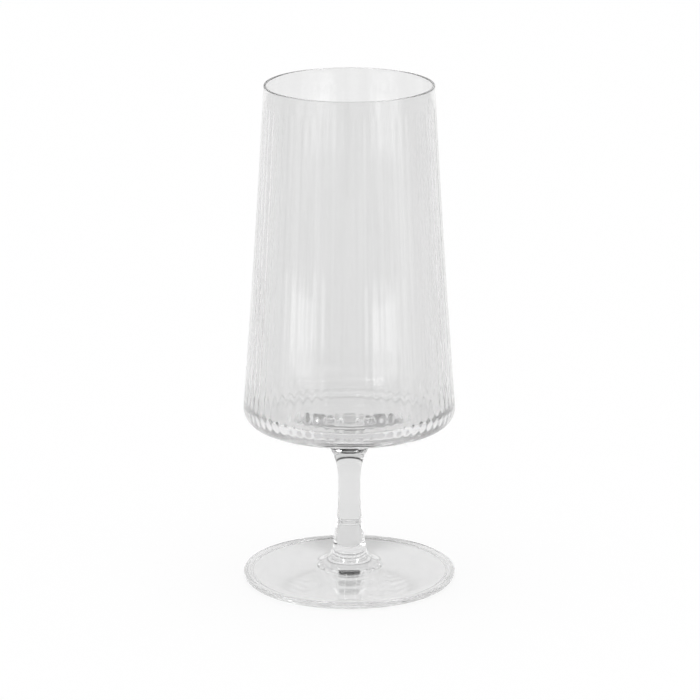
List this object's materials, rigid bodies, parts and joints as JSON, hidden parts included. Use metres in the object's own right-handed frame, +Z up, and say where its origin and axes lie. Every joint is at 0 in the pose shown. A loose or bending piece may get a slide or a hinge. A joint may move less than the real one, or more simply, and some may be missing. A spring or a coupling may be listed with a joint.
{
  "type": "cocktail glass",
  "caption": "Tall clear cocktail glass: ribbed bowl with a narrow lip, round shoulder and flat base, on a short waisted stem and a flat round foot, for mixed drinks.",
  "frame": {"origin": "on the table, under the middle of the foot", "axes": "+Z up along the axis of the glass, from the foot to the lip; X and Y lie in the table"},
  "size_m": [0.08, 0.08, 0.19],
  "materials": {
    "clear_glass": "clear, fire-polished"
  },
  "bodies": {
    "root": {"bowl": "clear_glass", "stem": "clear_glass", "foot": "clear_glass"}
  },
  "joints": []
}
